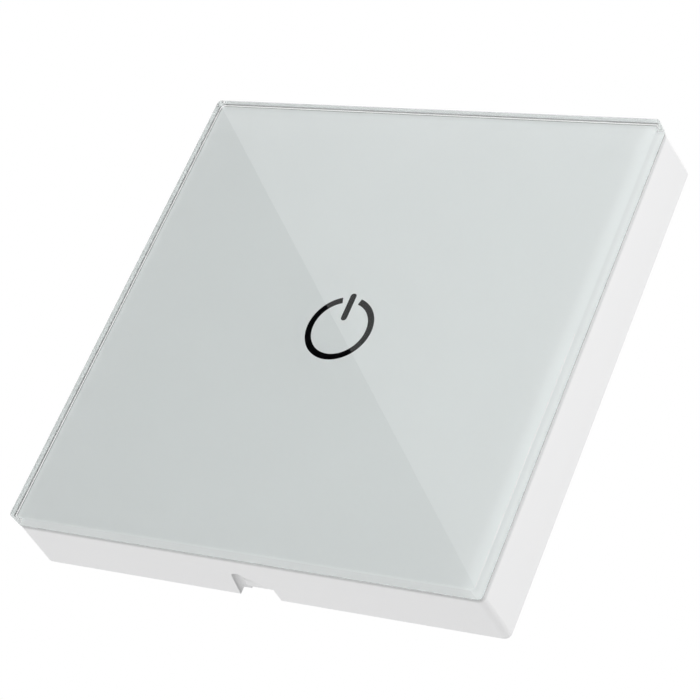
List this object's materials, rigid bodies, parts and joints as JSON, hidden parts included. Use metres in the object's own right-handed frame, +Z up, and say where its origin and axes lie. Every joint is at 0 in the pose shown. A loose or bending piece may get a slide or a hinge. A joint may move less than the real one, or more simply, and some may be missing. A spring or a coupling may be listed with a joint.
{
  "type": "smart light switch",
  "caption": "Square touch-glass smart light switch for a wall box, with a white frame, a power symbol, a plug-in touch board, a relay and screw terminals.",
  "frame": {"origin": "centre of the wall plane, midway between the two mounting slots", "axes": "+X to the right and +Z up as seen from the room; +Y points into the wall, so the glass faces -Y"},
  "size_m": [0.0868, 0.0357, 0.0868],
  "materials": {
    "clear_glass": "toughened clear glass, ground edge with a narrow chamfer",
    "white_enamel": "pale grey-white screen print fired on the back of the glass",
    "dark_print": "dark translucent screen print in the symbol",
    "foam_tape": "thin grey foam tape, adhesive on both sides",
    "white_plastic": "fine satin white moulding",
    "diffuser": "milky light-guide plastic",
    "circuit_board": "green solder mask over glass laminate",
    "white_circuit_board": "white solder mask over glass laminate",
    "spring_steel": "bright tinned spring wire",
    "lamp": "pale lens on a white ceramic foot",
    "chip_black": "black moulding compound with tinned leads",
    "tinned_can": "drawn tinned sheet",
    "black_plastic": "black connector plastic",
    "gold_pin": "thin gold over brass",
    "base_plastic": "white moulding with a fine spark texture",
    "cover_plastic": "white insulating sheet moulding",
    "screw_steel": "zinc-plated steel",
    "relay_plastic": "dark blue moulded cover",
    "bobbin_plastic": "glass-filled nylon",
    "copper_wire": "enamelled copper wire, closely wound",
    "soft_iron": "nickel-plated soft iron",
    "contact_metal": "copper alloy with silver buttons",
    "ferrite": "ground grey-black ferrite",
    "capacitor_sleeve": "dark shrink sleeve over an aluminium can",
    "yellow_box": "yellow filled box",
    "blue_coating": "dipped epoxy coat",
    "fuse_body": "grey-green cement coat",
    "solder": "bright solder",
    "terminal_plastic": "green terminal moulding",
    "tinned_brass": "tinned brass"
  },
  "bodies": {
    "base": {"base_housing": "base_plastic", "inner_cover": "cover_plastic", "cover_screws": "screw_steel", "power_board": "circuit_board", "header_strip": "black_plastic", "header_pins": "gold_pin", "relay_base": "relay_plastic", "relay_case": "relay_plastic", "relay_yoke": "soft_iron", "relay_core": "soft_iron", "relay_bobbin": "bobbin_plastic", "relay_winding": "copper_wire", "relay_fixed_contact": "contact_metal", "transformer_core": "ferrite", "transformer_winding": "copper_wire", "transformer_bobbin": "bobbin_plastic", "electrolytic_capacitors": "capacitor_sleeve", "film_capacitor": "yellow_box", "varistor": "blue_coating", "fuse_resistor": "fuse_body", "bridge_rectifier": "chip_black", "converter_chip": "chip_black", "output_diode": "chip_black", "filter_choke": "capacitor_sleeve", "component_leads": "solder", "terminal_block": "terminal_plastic", "terminal_contacts": "tinned_brass"},
    "front": {"glass_panel": "clear_glass", "back_print": "white_enamel", "power_symbol": "dark_print", "adhesive_frame": "foam_tape", "front_frame": "white_plastic", "light_guide": "diffuser", "touch_board": "white_circuit_board", "touch_spring": "spring_steel", "indicator_leds": "lamp", "touch_chip": "chip_black", "voltage_regulator": "chip_black", "radio_board": "circuit_board", "radio_shield": "tinned_can", "board_capacitors": "ferrite", "board_socket": "black_plastic", "touch_board_screws": "screw_steel"},
    "armature": {"relay_armature": "soft_iron", "relay_moving_contact": "contact_metal"},
    "screw_1": {"terminal_screw_1": "screw_steel"},
    "clamp_1": {"terminal_clamp_1": "tinned_brass"},
    "screw_2": {"terminal_screw_2": "screw_steel"},
    "clamp_2": {"terminal_clamp_2": "tinned_brass"},
    "screw_3": {"terminal_screw_3": "screw_steel"},
    "clamp_3": {"terminal_clamp_3": "tinned_brass"}
  },
  "joints": [
    {"name": "front_release", "type": "slide", "parent": "base", "child": "front", "axis": [0, -1, 0], "range_m": [0, 0.03]},
    {"name": "relay_armature_hinge", "type": "hinge", "parent": "base", "child": "armature", "pos_m": [-0.0201, 0.01648, -0.0082], "axis": [0, 0, -1], "range_deg": [0, 3.2], "stiffness_Nm_per_rad": 0.004, "springref_deg": -2.86},
    {"name": "terminal_screw_1_turn", "type": "hinge", "parent": "base", "child": "screw_1", "pos_m": [-0.008, 0.019, -0.0224], "axis": [0, -1, 0], "range_deg": [0, 2521]},
    {"name": "terminal_clamp_1_rise", "type": "slide", "parent": "base", "child": "clamp_1", "axis": [0, 1, 0], "range_m": [0, 0.0035]},
    {"name": "terminal_screw_2_turn", "type": "hinge", "parent": "base", "child": "screw_2", "pos_m": [0, 0.019, -0.0224], "axis": [0, -1, 0], "range_deg": [0, 2521]},
    {"name": "terminal_clamp_2_rise", "type": "slide", "parent": "base", "child": "clamp_2", "axis": [0, 1, 0], "range_m": [0, 0.0035]},
    {"name": "terminal_screw_3_turn", "type": "hinge", "parent": "base", "child": "screw_3", "pos_m": [0.008, 0.019, -0.0224], "axis": [0, -1, 0], "range_deg": [0, 2521]},
    {"name": "terminal_clamp_3_rise", "type": "slide", "parent": "base", "child": "clamp_3", "axis": [0, 1, 0], "range_m": [0, 0.0035]}
  ],
  "couplings": [
    {"joint": "terminal_screw_1_turn", "follows": "terminal_clamp_1_rise", "rad_per_m": 12566},
    {"joint": "terminal_screw_2_turn", "follows": "terminal_clamp_2_rise", "rad_per_m": 12566},
    {"joint": "terminal_screw_3_turn", "follows": "terminal_clamp_3_rise", "rad_per_m": 12566}
  ]
}
